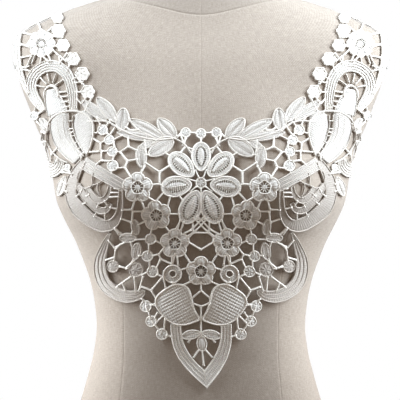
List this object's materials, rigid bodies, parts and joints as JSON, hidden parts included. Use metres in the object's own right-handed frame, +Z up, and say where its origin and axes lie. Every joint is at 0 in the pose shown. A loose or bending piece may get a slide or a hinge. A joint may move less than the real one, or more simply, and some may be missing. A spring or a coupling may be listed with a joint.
{
  "type": "lace collar on dress form",
  "caption": "Pierced guipure lace yoke with shoulder straps and a pointed front, worn on a limbless dress form with a flat base.",
  "frame": {"origin": "on the form's flat base face, where the upright axis through the middle of its neck meets it", "axes": "+Z up towards the neck, -Y out of the chest towards the viewer, +X towards the side that is on the right when seen from the front"},
  "size_m": [0.4014, 0.2353, 0.65],
  "materials": {
    "linen": "matt plain-weave linen",
    "lace": "soft sheen of satin-stitched cotton thread"
  },
  "bodies": {
    "root": {"dress_form": "linen", "lace_collar": "lace"}
  },
  "joints": []
}
